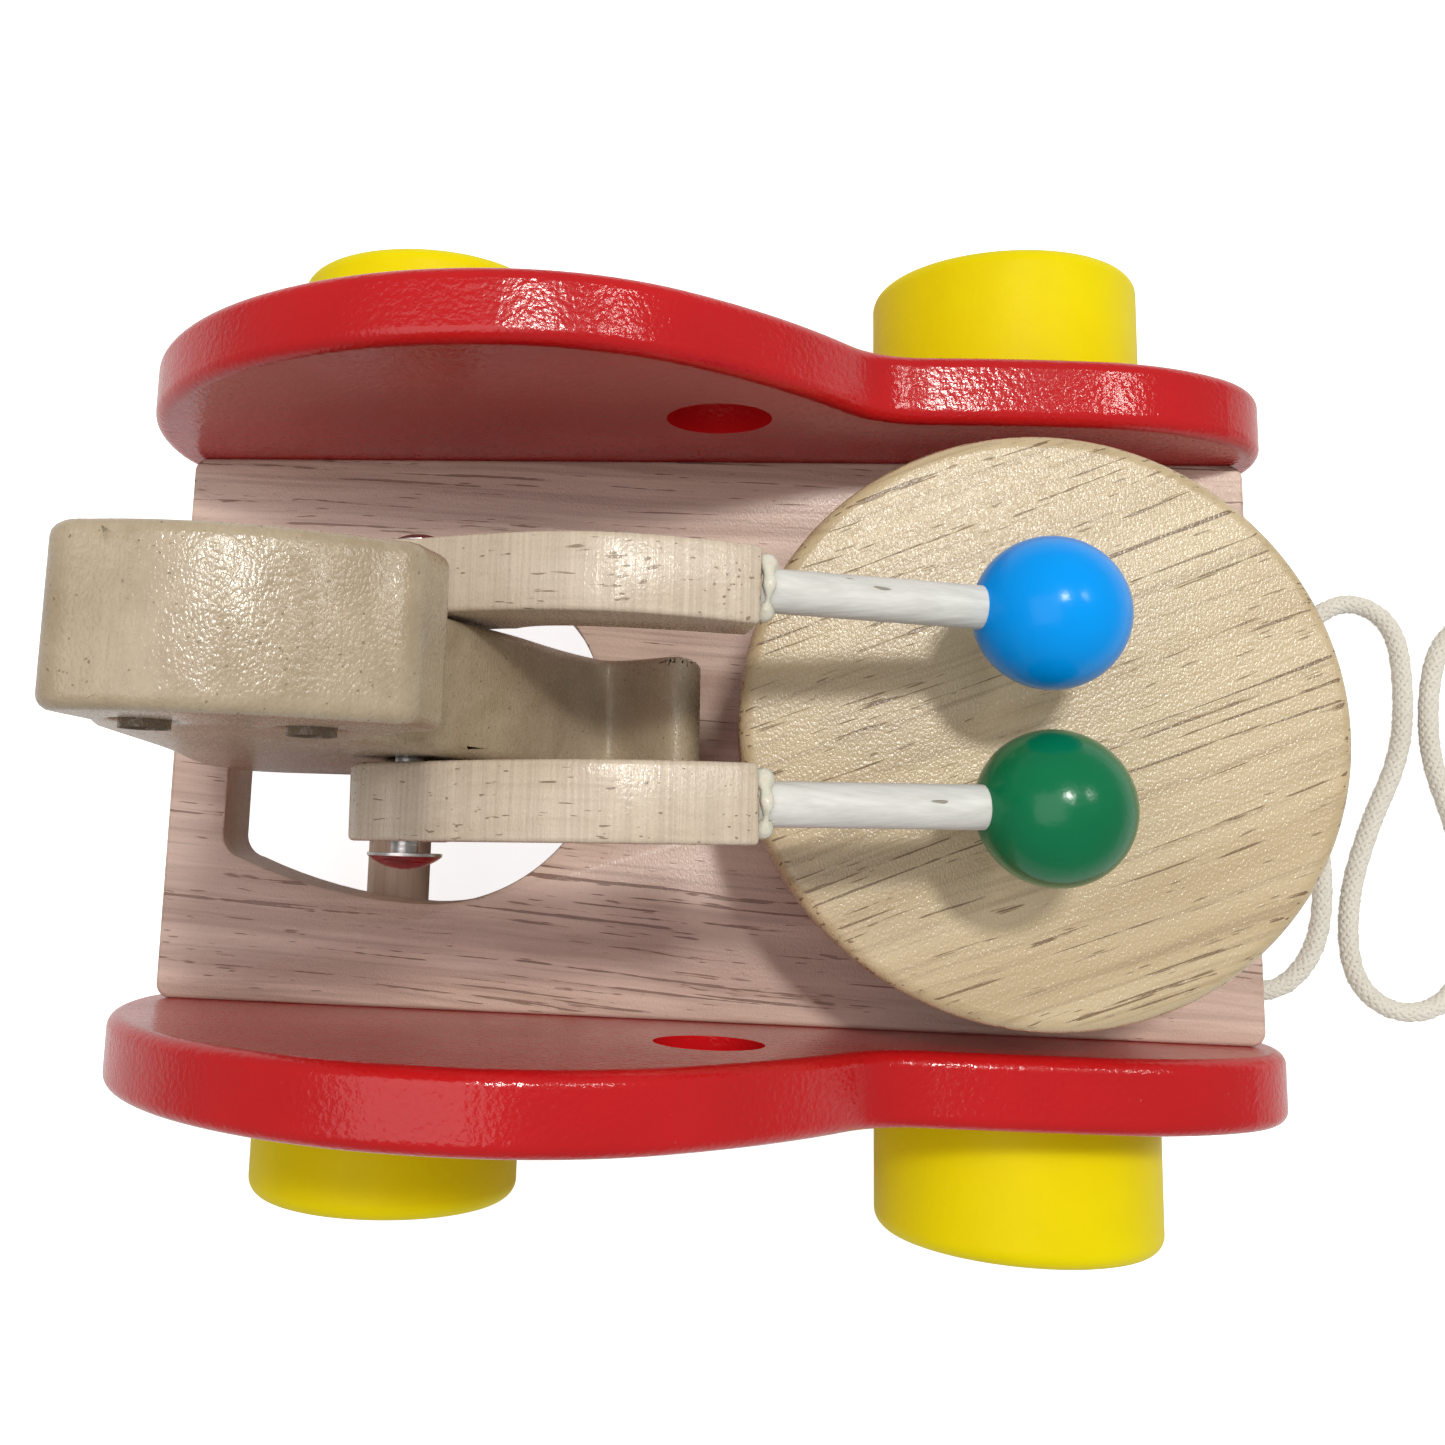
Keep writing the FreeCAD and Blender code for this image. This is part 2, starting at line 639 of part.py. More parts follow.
def cord_coil():
    """The outer shape of the wound cord: a flat ring, one turn high."""
    half_width = COIL_TURNS * CORD_RADIUS
    base = vec(COIL_X, COIL_Y, FLOOR - CORD_RADIUS)
    ring = Part.makeCylinder(COIL_TURN_RADIUS + half_width, 2 * CORD_RADIUS, base)
    ring = ring.cut(Part.makeCylinder(COIL_TURN_RADIUS - half_width, 2 * CORD_RADIUS, base))
    rims = [e for e in ring.Edges if e.BoundBox.ZLength < 0.01]
    return ring.makeFillet(CORD_RADIUS * 0.6, rims)


def cord_knot():
    """The stopper knot on top of the plate, with the cord through the plate below it."""
    centre = vec(CORD_HOLE_X, 0, BASE_TOP + CORD_KNOT_RADIUS * 0.8)
    ball = Part.makeSphere(CORD_KNOT_RADIUS, centre)
    above = Part.makeBox(20, 20, 20, vec(CORD_HOLE_X - 10, -10, BASE_TOP))
    stem = Part.makeCylinder(CORD_RADIUS, BASE_THICK + 1, vec(CORD_HOLE_X, 0, BASE_BOTTOM))
    return ball.common(above).fuse(stem).removeSplitter()


def pull_bead():
    """A wooden bead to hold the cord by, lying in the middle of the coil."""
    centre = vec(PULL_BEAD_X, PULL_BEAD_Y, PULL_BEAD_RADIUS)
    bore = Part.makeCylinder(PULL_BEAD_BORE, 4 * PULL_BEAD_RADIUS,
                             centre - vec(2 * PULL_BEAD_RADIUS, 0, 0), vec(1, 0, 0))
    return Part.makeSphere(PULL_BEAD_RADIUS, centre).cut(bore)


def end_knot():
    x = PULL_BEAD_X - PULL_BEAD_RADIUS - END_KNOT_RADIUS + 0.4
    return Part.makeSphere(END_KNOT_RADIUS, vec(x, PULL_BEAD_Y, END_KNOT_RADIUS + 1.4))


def main():
    os.makedirs("parts", exist_ok=True)
    save("base_plate", base_plate())
    save("left_side_panel", side_panel(1))
    save("right_side_panel", side_panel(-1))
    save("panel_dowels", panel_dowels())
    save("figure_body", figure_body())
    save("figure_screws", figure_screws())
    save("shoulder_pin", shoulder_pin())
    save("pin_cap", pin_cap())
    save("drum_disc", drum_disc())
    save("drum_post", drum_post())
    save("drum_screw", drum_screw())
    for name, side in (("left", 1), ("right", -1)):
        save("arm_" + name, arm(side))
        save("drumstick_" + name, drumstick(side))
        save("stick_bead_" + name, stick_bead(side))
        save("glue_collar_" + name, glue_collar(side))
        save("cam_" + name, cam(side))
        save("front_wheel_" + name, wheel(FRONT_AXLE_X, side, FLOAT_FRONT))
        save("rear_wheel_" + name, wheel(REAR_AXLE_X, side, FLOAT_REAR))
    save("front_axle", axle(FRONT_AXLE_X, FLOAT_FRONT))
    save("rear_axle", axle(REAR_AXLE_X, FLOAT_REAR))
    save("cord_knot", cord_knot())
    save("pull_cord", cord_tube(CORD_POINTS))
    save("cord_coil", cord_coil())
    save("cord_tail", cord_tube(TAIL_POINTS))
    save("pull_bead", pull_bead())
    save("end_knot", end_knot())


main()
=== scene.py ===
import math

import bpy
import numpy as np
from mathutils import Matrix, Vector


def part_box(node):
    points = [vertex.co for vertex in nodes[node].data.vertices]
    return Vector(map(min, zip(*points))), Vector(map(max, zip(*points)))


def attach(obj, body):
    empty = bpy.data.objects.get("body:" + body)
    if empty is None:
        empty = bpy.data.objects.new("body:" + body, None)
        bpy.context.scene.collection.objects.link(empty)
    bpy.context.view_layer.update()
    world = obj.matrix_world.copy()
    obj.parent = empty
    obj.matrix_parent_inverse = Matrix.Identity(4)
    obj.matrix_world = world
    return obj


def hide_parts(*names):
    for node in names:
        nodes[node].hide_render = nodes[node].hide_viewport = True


# %% [markdown]
# # A wooden pull-along drummer
# A seated wooden figure swings two drumsticks over a round drum while the toy rolls.
# The shapes and sizes come from a CAD model, loaded here as the frame. This lesson gives
# those parts their eased edges, paint, grain and cord. Everything is in metres.

# %% Load the frame
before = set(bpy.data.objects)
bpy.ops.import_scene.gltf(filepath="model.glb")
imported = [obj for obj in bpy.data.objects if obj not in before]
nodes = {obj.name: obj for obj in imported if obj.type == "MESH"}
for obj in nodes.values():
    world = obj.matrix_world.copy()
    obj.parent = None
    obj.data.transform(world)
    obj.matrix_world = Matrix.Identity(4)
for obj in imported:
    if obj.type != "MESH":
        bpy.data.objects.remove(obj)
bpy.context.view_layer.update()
scene = bpy.context.scene
MM = 0.001
MIDDLE = -2.4 * MM          # Y of the plate's middle plane; the wheel sets have slid to +Y

# %% [markdown]
# ## The camera
# The toy is seen from almost straight above, from about 31 cm over the ground, so near
# things look larger than far ones. A camera that was turned is easiest to give by its
# three axes: right, up and backwards. They are the columns of its rotation matrix. The
# lens shift moves the view sideways and keeps the lines of sight as they are.

# %% Make the camera
RIGHT = Vector((0.99463, 0.03309, -0.09807))
DOWN = Vector((0.01662, -0.98628, -0.16427))
FORWARD = RIGHT.cross(DOWN)
EYE = (3.47 * MM, -20.26 * MM + MIDDLE, 310.99 * MM)
camera_data = bpy.data.cameras.new("camera")
camera = bpy.data.objects.new("camera", camera_data)
scene.collection.objects.link(camera)
turn = Matrix((RIGHT, -DOWN, -FORWARD)).transposed().to_4x4()
camera.matrix_world = Matrix.Translation(EYE) @ turn
camera_data.sensor_width = 36.0
camera_data.lens = 36.56
camera_data.shift_x = 0.1084
camera_data.shift_y = -0.0829
camera_data.clip_start = 0.01
scene.camera = camera
print("camera looks along", [round(v, 3) for v in FORWARD])

# %% [markdown]
# ## The pull cord's line
# A cord is a fixed length of something limp. It comes down through a hole in the plate,
# lies on the ground in two loose loops ahead of the toy, and the rest is wound in a small
# coil with a wooden bead on its end. One smooth NURBS line carries all of it. Order 3 keeps
# the line close to its control points. The order is set last, once the points exist.

# %% Lay out the cord's route
LIE = 0.0021                # height of the cord's middle when it lies on the ground
CORD_DIAMETER = 0.0040
ROUTE = [
    (0.0840, 0.0000, 0.0325), (0.0840, 0.0000, 0.0200), (0.0848, -0.0060, 0.0080),
    (0.0875, -0.0180, LIE), (0.0910, -0.0310, LIE), (0.1000, -0.0420, LIE),
    (0.1125, -0.0454, LIE), (0.1204, -0.0390, LIE), (0.1239, -0.0280, LIE),
    (0.1232, -0.0100, LIE), (0.1216, 0.0080, LIE), (0.1222, 0.0200, LIE),
    (0.1228, 0.0294, LIE), (0.1316, 0.0343, LIE), (0.1402, 0.0290, LIE),
    (0.1412, 0.0150, LIE), (0.1396, 0.0020, LIE), (0.1330, -0.0115, LIE),
    (0.1281, -0.0265, LIE), (0.1280, -0.0406, LIE), (0.1342, -0.0473, LIE),
    (0.1430, -0.0471, LIE), (0.1493, -0.0406, LIE), (0.1514, -0.0280, LIE),
    (0.1498, -0.0130, LIE), (0.1453, 0.0015, LIE), (0.1455, 0.0140, LIE),
    (0.1482, 0.0254, LIE), (0.1560, 0.0316, LIE), (0.1670, 0.0346, LIE),
    (0.1790, 0.0349, LIE), (0.1900, 0.0330, LIE),
]
TAIL = [
    (0.1962, 0.0236, LIE), (0.2004, 0.0182, 0.0026), (0.2004, 0.0118, 0.0044),
    (0.1958, 0.0075, 0.0066), (0.1886, 0.0068, 0.0075), (0.1808, 0.0069, 0.0066),
]
COIL_CENTRE = (0.1900, 0.0070)
COIL_START = 0.0260         # radius where the coil begins
COIL_STEP = CORD_DIAMETER   # how much nearer to the middle each turn lies
COIL_TURNS = 2
POINTS_PER_TURN = 16


def coil_points():
    """Two flat turns, each lying inside the last one."""
    points = []
    for i in range(1, COIL_TURNS * POINTS_PER_TURN + 1):
        angle = 2 * math.pi * i / POINTS_PER_TURN
        radius = COIL_START - COIL_STEP * i / POINTS_PER_TURN
        points.append((COIL_CENTRE[0] + radius * math.sin(angle),
                       COIL_CENTRE[1] + radius * math.cos(angle), LIE))
    return points


route = [Vector(p) + Vector((0, MIDDLE, 0)) for p in ROUTE + coil_points() + TAIL]
line = bpy.data.curves.new("cord_core", "CURVE")
line.dimensions = "3D"
spline = line.splines.new("NURBS")
spline.points.add(len(route) - 1)
for point, place in zip(spline.points, route):
    point.co = (*place, 1.0)
spline.order_u = 3
spline.use_endpoint_u = True
line.resolution_u = 12
cord_core = bpy.data.objects.new("cord_core", line)
scene.collection.objects.link(cord_core)
print("control points", len(route))

# %% [markdown]
# ## Reading the line back
# The strands of the braid need points along the finished line. A curve without a bevel
# turns into a mesh that is just its own line, which can be read as an array. The points
# are then spaced evenly, and each gets a sideways direction carried along without twist.

# %% Read the line and frame it
LINE_STEP = 0.0007          # from one read point to the next
CORE_INSET = 0.00042        # how far the plain core stays inside the cord's outline


def read_line(obj, step):
    """Evenly spaced points along a curve object, as an array."""
    mesh = bpy.data.meshes.new_from_object(obj)
    points = np.array([v.co for v in mesh.vertices])
    bpy.data.meshes.remove(mesh)
    gaps = np.linalg.norm(np.diff(points, axis=0), axis=1)
    points = points[np.concatenate([[True], gaps > 1e-9])]
    run = np.concatenate([[0.0], np.cumsum(np.linalg.norm(np.diff(points, axis=0), axis=1))])
    even = np.linspace(0, run[-1], int(run[-1] / step) + 1)
    return np.stack([np.interp(even, run, points[:, k]) for k in range(3)], axis=1), run[-1]


def side_directions(points):
    """Two directions square to the line at each point, carried along without twist."""
    along = np.gradient(points, axis=0)
    along /= np.linalg.norm(along, axis=1)[:, None]
    first = np.zeros_like(points)
    side = np.cross(along[0], (0.0, 1.0, 0.0))
    for i, direction in enumerate(along):
        side = side - direction * side.dot(direction)
        side /= np.linalg.norm(side)
        first[i] = side
    return first, np.cross(along, first)


centre_line, cord_length = read_line(cord_core, LINE_STEP)
line.bevel_depth = CORD_DIAMETER / 2 - CORE_INSET
line.bevel_resolution = 5
line.use_fill_caps = True
print("cord length", round(cord_length, 4), "points", len(centre_line))

# %% [markdown]
# ## The braid
# The cord is sixteen flat yarns, eight winding each way, that pass over and under each
# other. A single bump pattern would look flat at the outline, so each yarn is a real thin
# tube on a helix. Its distance from the middle rises and falls as it crosses the others.

# %% Braid the cord
YARNS_EACH_WAY = 8
LAY_LENGTH = 0.0135         # length of cord for one full turn of a yarn
YARN_WIDE = 0.00050         # half the yarn's width
YARN_THICK = 0.00030        # half its thickness
YARN_WEAVE = 0.00016        # how far a yarn rises and sinks as it crosses the others
YARN_RADIUS = CORD_DIAMETER / 2 - 0.00048
YARN_SIDES = 6


def braid_mesh(points, radius):
    """Vertices and faces of all the yarns along a line of evenly spaced points."""
    side_a, side_b = side_directions(points)
    twist = 2 * math.pi * (np.arange(len(points)) * LINE_STEP) / LAY_LENGTH
    vertices, faces = [], []
    for way in (1, -1):
        for k in range(YARNS_EACH_WAY):
            around = way * twist + 2 * math.pi * k / YARNS_EACH_WAY
            weave = YARN_WEAVE * way * np.cos(YARNS_EACH_WAY * twist + k * math.pi)
            out = side_a * np.cos(around)[:, None] + side_b * np.sin(around)[:, None]
            path = points + out * (radius + weave)[:, None]
            heading = np.gradient(path, axis=0)
            heading /= np.linalg.norm(heading, axis=1)[:, None]
            across = np.cross(heading, out)
            start = len(vertices)
            for s in range(YARN_SIDES):
                angle = 2 * math.pi * s / YARN_SIDES
                ring = (path + across * (YARN_WIDE * math.cos(angle))
                        + out * (YARN_THICK * math.sin(angle)))
                vertices.extend(ring.tolist())
            count = len(points)
            for s in range(YARN_SIDES):
                low = start + s * count
                high = start + (s + 1) % YARN_SIDES * count
                for i in range(count - 1):
                    faces.append((low + i, low + i + 1, high + i + 1, high + i))
    return vertices, faces


def mesh_piece(name, vertices, faces):
    mesh = bpy.data.meshes.new(name)
    mesh.from_pydata(vertices, [], faces)
    mesh.update()
    obj = bpy.data.objects.new(name, mesh)
    scene.collection.objects.link(obj)
    return obj


cord_braid = mesh_piece("cord_braid", *braid_mesh(centre_line, YARN_RADIUS))
cord_braid.data.shade_smooth()
print("braid faces", len(cord_braid.data.polygons))

# %% [markdown]
# ## Floor and light
# A plain pale floor and nearly white light show the colours as they are. Two small lamps
# stand where ceiling lamps in a room would: they make the bright patches on the gloss
# paint. A large weak one and the room around lift the shadows. The floor and the room are
# brighter to the camera than to the toy, so both look white without washing it out. Light
# Path's Is Camera Ray tells the two apart.

# %% Make the floor and the lights
TOY_MIDDLE = (0.0, 0.0, 0.05)
ROOM_LIGHT = 0.36           # light that the room gives
ROOM_SEEN = 0.90            # how bright it looks behind the toy
FLOOR_SEEN = 0.8            # glow of the floor, for the camera only


def deselect_all():
    if bpy.context.mode != "OBJECT":
        bpy.ops.object.mode_set(mode="OBJECT")
    bpy.ops.object.select_all(action="DESELECT")


def make_active(obj):
    deselect_all()
    obj.select_set(True)
    bpy.context.view_layer.objects.active = obj


def area_light(name, place, aim, size, watts, tint=(1, 1, 1)):
    deselect_all()
    bpy.ops.object.light_add(type="AREA", location=place)
    lamp = bpy.context.active_object
    lamp.name = name
    lamp.rotation_euler = (Vector(aim) - Vector(place)).to_track_quat("-Z", "Y").to_euler()
    lamp.data.shape = "RECTANGLE"
    lamp.data.size, lamp.data.size_y = size
    lamp.data.energy = watts
    lamp.data.color = tint
    return lamp


deselect_all()
bpy.ops.mesh.primitive_plane_add(size=6.0, location=(0, 0, -0.0002))
floor = bpy.context.active_object
floor.name = "floor"
area_light("ceiling_lamp", (0.19, 0.29, 1.15), TOY_MIDDLE, (0.13, 0.09), 5.8, (1, 0.99, 0.94))
area_light("second_lamp", (0.85, 0.40, 1.15), TOY_MIDDLE, (0.22, 0.14), 2.8, (1, 0.99, 0.95))
area_light("soft_fill", (-0.35, -0.05, 1.2), (0.0, 0.0, 0.03), (0.9, 0.9), 4.2, (1, 0.94, 0.95))
world = bpy.data.worlds.new("room")
scene.world = world
world.use_nodes = True
room_tree = world.node_tree
background = room_tree.nodes["Background"]
background.inputs["Color"].default_value = (1.0, 0.99, 0.98, 1.0)
brightness = room_tree.nodes.new("ShaderNodeMapRange")
brightness.inputs["To Min"].default_value = ROOM_LIGHT
brightness.inputs["To Max"].default_value = ROOM_SEEN
rays = room_tree.nodes.new("ShaderNodeLightPath")
room_tree.links.new(rays.outputs["Is Camera Ray"], brightness.inputs["Value"])
room_tree.links.new(brightness.outputs["Result"], background.inputs["Strength"])
scene.view_settings.view_transform = "Standard"

# %% [markdown]
# ## Shared surface effects
# Wood grain and the fine orange peel of paint turn up on many pieces. Each effect is a
# shader node group with named sockets, made once and placed in each material with its own
# values. A small helper adds and links nodes, to keep the recipes readable.

# %% A helper for shader nodes


class Recipe:
    """Adds nodes to one tree. Inputs may be values or other nodes' outputs.

    An input is named by its label, with _ for a space, or by its number: i0, i1.
    """

    def __init__(self, tree):
        self.tree = tree

    def add(self, kind, **inputs):
        node = self.tree.nodes.new(kind)
        self.feed(node, inputs)
        return node

    def plug(self, socket, value):
        if isinstance(value, bpy.types.NodeSocket):
            self.tree.links.new(value, socket)
        else:
            socket.default_value = value

    def feed(self, node, inputs):
        for key, value in inputs.items():
            numbered = key[0] == "i" and key[1:].isdigit()
            self.plug(node.inputs[int(key[1:]) if numbered else key.replace("_", " ")], value)

    def math(self, operation, a, b=0.0):
        node = self.add("ShaderNodeMath", i0=a, i1=b)
        node.operation = operation
        return node.outputs[0]

    def remap(self, value, low, high, to_low=0.0, to_high=1.0):
        node = self.add("ShaderNodeMapRange", Value=value, From_Min=low, From_Max=high,
                        To_Min=to_low, To_Max=to_high)
        return node.outputs["Result"]

    def mix(self, factor, a, b):
        """Blends two colours. A Mix node's colour sockets come after those of other types."""
        node = self.tree.nodes.new("ShaderNodeMix")
        node.data_type = "RGBA"
        self.plug(node.inputs[0], factor)
        self.plug(node.inputs[6], a)
        self.plug(node.inputs[7], b)
        return node.outputs[2]

    def noise(self, vector, scale, detail=3.0, roughness=0.5, distortion=0.0):
        node = self.add("ShaderNodeTexNoise", Vector=vector, Scale=scale, Detail=detail,
                        Roughness=roughness, Distortion=distortion)
        return node.outputs["Fac"]

    def stretch(self, vector, scale, location=(0, 0, 0), rotation=(0, 0, 0)):
        node = self.add("ShaderNodeMapping", Vector=vector)
        node.inputs["Scale"].default_value = scale
        node.inputs["Location"].default_value = location
        node.inputs["Rotation"].default_value = rotation
        return node.outputs["Vector"]


def new_group(name, inputs, outputs):
    """A node group with named sockets. Each input is (name, kind, default)."""
    group = bpy.data.node_groups.new(name, "ShaderNodeTree")
    kinds = {"value": "NodeSocketFloat", "colour": "NodeSocketColor", "vector": "NodeSocketVector"}
    for label, kind, default in inputs:
        socket = group.interface.new_socket(label, in_out="INPUT", socket_type=kinds[kind])
        if default is not None:
            socket.default_value = default
    for label, kind in outputs:
        group.interface.new_socket(label, in_out="OUTPUT", socket_type=kinds[kind])
    recipe = Recipe(group)
    return recipe, group.nodes.new("NodeGroupInput"), group.nodes.new("NodeGroupOutput")


# %% [markdown]
# ### Wood grain
# This pale plantation wood shows broad soft bands of tone, fine fibres, short dark pores
# like pencil ticks, and a few long dark streaks and faint lines, all drawn out along the
# grain. Noise stretched in one direction gives each of them. A slow wander bends them all
# together. The grain runs along the vector's X, so a Mapping node in the material can turn
# it to suit the board.

# %% The wood grain group
r, gin, gout = new_group(
    "wood_grain",
    [("Vector", "vector", None), ("Light", "colour", (0.6, 0.5, 0.35, 1)),
     ("Dark", "colour", (0.45, 0.33, 0.2, 1)), ("Pore Colour", "colour", (0.2, 0.11, 0.06, 1)),
     ("Pore Amount", "value", 0.5), ("Band Contrast", "value", 0.6),
     ("Streak Amount", "value", 0.5)],
    [("Colour", "colour"), ("Height", "value")])
place = gin.outputs["Vector"]
wander = r.noise(r.stretch(place, (9, 30, 30)), 1.0, 2.0)
shifted = r.add("ShaderNodeVectorMath", i0=place)
shifted.operation = "ADD"
lift = r.add("ShaderNodeCombineXYZ", Y=r.remap(wander, 0, 1, -0.004, 0.004),
             Z=r.remap(wander, 0, 1, 0.003, -0.003))
r.tree.links.new(lift.outputs[0], shifted.inputs[1])
bent = shifted.outputs[0]
bands = r.noise(r.stretch(bent, (10, 130, 130)), 1.0, 3.0, 0.55, 0.4)
fibres = r.noise(r.stretch(bent, (60, 1500, 1500)), 1.0, 2.0, 0.6)
blotch = r.noise(place, 28.0, 2.0)
pore_noise = r.noise(r.stretch(bent, (210, 1900, 1900)), 1.0, 1.0, 0.4)
patchy = r.remap(r.noise(r.stretch(place, (25, 90, 90)), 1.0, 2.0), 0.35, 0.65, 0.03, -0.03)
pore_edge = r.math("ADD", r.remap(gin.outputs["Pore Amount"], 0, 1, 0.78, 0.64), patchy)
pores = r.remap(r.math("SUBTRACT", pore_noise, pore_edge), 0.0, 0.045)
long_noise = r.noise(r.stretch(bent, (20, 1150, 1150), (0.3, 0.1, 0.2)), 1.0, 2.0, 0.55)
ragged = r.remap(r.noise(r.stretch(bent, (260, 900, 900)), 1.0, 1.0), 0.35, 0.65, -0.03, 0.03)
streak_edge = r.math("ADD", r.remap(gin.outputs["Streak Amount"], 0, 1, 0.80, 0.595), ragged)
streaks = r.remap(r.math("SUBTRACT", long_noise, streak_edge), 0.0, 0.035)
faint_noise = r.noise(r.stretch(bent, (9, 760, 760), (0.7, 0.2, 0.4)), 1.0, 3.0, 0.6)
faintness = r.math("MULTIPLY", gin.outputs["Streak Amount"], 0.36)
lines = r.math("MULTIPLY", r.remap(faint_noise, 0.53, 0.66), faintness)
tone = r.math("MULTIPLY", r.remap(bands, 0.36, 0.66), gin.outputs["Band Contrast"])
tone = r.math("ADD", tone, r.remap(fibres, 0.3, 0.7, -0.16, 0.16))
tone = r.math("ADD", tone, r.remap(blotch, 0.35, 0.65, -0.1, 0.1))
clamped = r.remap(tone, 0.0, 1.0)
marks = r.math("MAXIMUM", r.math("MULTIPLY", pores, 0.75), r.math("MULTIPLY", streaks, 0.9))
colour = r.mix(clamped, gin.outputs["Light"], gin.outputs["Dark"])
colour = r.mix(lines, colour, gin.outputs["Pore Colour"])
colour = r.mix(marks, colour, gin.outputs["Pore Colour"])
height = r.math("SUBTRACT", r.math("MULTIPLY", fibres, 0.35), marks)
r.feed(gout, {"Colour": colour, "Height": height})
wood_grain = r.tree
print("group", wood_grain.name, "nodes", len(wood_grain.nodes))

# %% [markdown]
# ### Paint film
# Dipped or sprayed enamel settles into a faint orange peel and keeps a few specks of dust.
# The peel is what breaks a lamp's reflection into glitter. Wide, slow waves show the wood
# under it.

# %% The paint film group
r, gin, gout = new_group(
    "paint_film",
    [("Vector", "vector", None), ("Peel Scale", "value", 900.0), ("Waves", "value", 0.5),
     ("Specks", "value", 0.3)],
    [("Height", "value"), ("Tone", "value"), ("Dust", "value")])
place = gin.outputs["Vector"]
peel = r.noise(place, gin.outputs["Peel Scale"], 2.0, 0.5)
waves = r.noise(r.stretch(place, (60, 240, 240)), 1.0, 2.0)
tone = r.noise(place, 36.0, 3.0)
grit = r.add("ShaderNodeTexVoronoi", Vector=place, Scale=420.0)
specks = r.remap(grit.outputs["Distance"], 0.10, 0.02)
rare = r.remap(r.noise(place, 130.0, 1.0), 0.60, 0.68)
specks = r.math("MULTIPLY", r.math("MULTIPLY", specks, rare), gin.outputs["Specks"])
height = r.math("ADD", peel, r.math("MULTIPLY", waves, gin.outputs["Waves"]))
height = r.math("ADD", height, specks)
r.feed(gout, {"Height": height, "Tone": tone, "Dust": specks})
paint_film = r.tree
print("group", paint_film.name, "nodes", len(paint_film.nodes))

# %% [markdown]
# ## Materials
# Every material starts from the same frame: Object coordinates, a Principled shader and a
# Bump node. What feeds them is the finish. Colours are given as linear values.

# %% A start for each material


def start_material(name):
    material = bpy.data.materials.new(name)
    material.use_nodes = True
    tree = material.node_tree
    recipe = Recipe(tree)
    shader = tree.nodes["Principled BSDF"]
    place = recipe.add("ShaderNodeTexCoord").outputs["Object"]
    return material, recipe, shader, place


def use_group(recipe, group, **inputs):
    node = recipe.tree.nodes.new("ShaderNodeGroup")
    node.node_tree = group
    recipe.feed(node, inputs)
    return node


def add_bump(recipe, shader, height, depth):
    bump = recipe.add("ShaderNodeBump", Height=height, Distance=depth, Strength=1.0)
    recipe.feed(shader, {"Normal": bump.outputs["Normal"]})


# %% [markdown]
# ### Bare and lacquered wood
# One function makes all the boards. The grain's direction, the two tones and the number
# of pores differ. A thin sealer that raised the fibres leaves a fine glitter under a lamp:
# a second bump with grains of a third to half a millimetre, and a fairly low roughness.
# Saw marks, where a board has them, are lines across it in both the bump and the colour.

# %% Wood materials
WOOD_BUMP = 0.00007
SAW_BUMP = 1.2              # height of the saw marks beside the grain's
SAW_SHADE = 0.45            # how much of their darker tone they show
SAW_DARKER = 0.66


def wood(name, light, dark, pore, turn_degrees=(0, 0, 0), pores=0.5, streaks=0.5, bands=0.6,
         gloss=0.24, offset=(0, 0, 0), saw=0.0, glitter=1.0):
    material, r, shader, place = start_material(name)
    turned = r.stretch(place, (1, 1, 1), offset, tuple(math.radians(a) for a in turn_degrees))
    grain = use_group(r, wood_grain, Vector=turned, Light=(*light, 1), Dark=(*dark, 1),
                      Pore_Colour=(*pore, 1), Pore_Amount=pores, Band_Contrast=bands,
                      Streak_Amount=streaks)
    sealer = r.noise(r.stretch(place, (2900, 1900, 2900)), 1.0, 1.0, 0.5)
    height = r.math("ADD", grain.outputs["Height"], r.math("MULTIPLY", sealer, glitter))
    colour = grain.outputs["Colour"]
    if saw:
        marks = r.noise(r.stretch(place, (2100, 26, 70)), 1.0, 3.0, 0.65)
        height = r.math("ADD", height, r.math("MULTIPLY", marks, saw * SAW_BUMP))
        shade = r.math("MULTIPLY", r.remap(marks, 0.42, 0.62), saw * SAW_SHADE)
        colour = r.mix(shade, colour, (*(SAW_DARKER * c for c in dark), 1))
    rough = r.remap(sealer, 0.3, 0.7, gloss - 0.04, gloss + 0.10)
    r.feed(shader, {"Base Color": colour, "Roughness": rough})
    shader.inputs["Specular IOR Level"].default_value = 0.5
    add_bump(r, shader, height, WOOD_BUMP)
    return material


PORE = (0.17, 0.10, 0.055)
drum_wood = wood("drum_wood", (0.57, 0.455, 0.28), (0.46, 0.345, 0.195), (0.19, 0.115, 0.06),
                 (0, 0, -22), pores=0.34, streaks=0.80, bands=0.75, offset=(0.013, 0.02, 0.0),
                 glitter=1.3)
arm_wood = wood("arm_wood", (0.64, 0.54, 0.42), (0.53, 0.42, 0.31), PORE, (0, 8, 0),
                pores=0.55, streaks=0.25, bands=0.45, saw=0.7, offset=(0.0, 0.03, 0.07), glitter=0.7)
figure_wood = wood("figure_wood", (0.43, 0.35, 0.24), (0.33, 0.255, 0.165), (0.22, 0.15, 0.09),
                   (0, 62, 12), pores=0.42, streaks=0.15, bands=0.8, gloss=0.22, saw=0.2,
                   glitter=1.1)
dowel_wood = wood("dowel_wood", (0.58, 0.43, 0.32), (0.46, 0.32, 0.22), PORE, (0, 0, 90),
                  pores=0.35, bands=0.5, gloss=0.4)
pull_wood = wood("pull_wood", (0.64, 0.47, 0.28), (0.50, 0.33, 0.18), PORE, pores=0.3, gloss=0.2,
                 glitter=0.4)
print("woods ready")
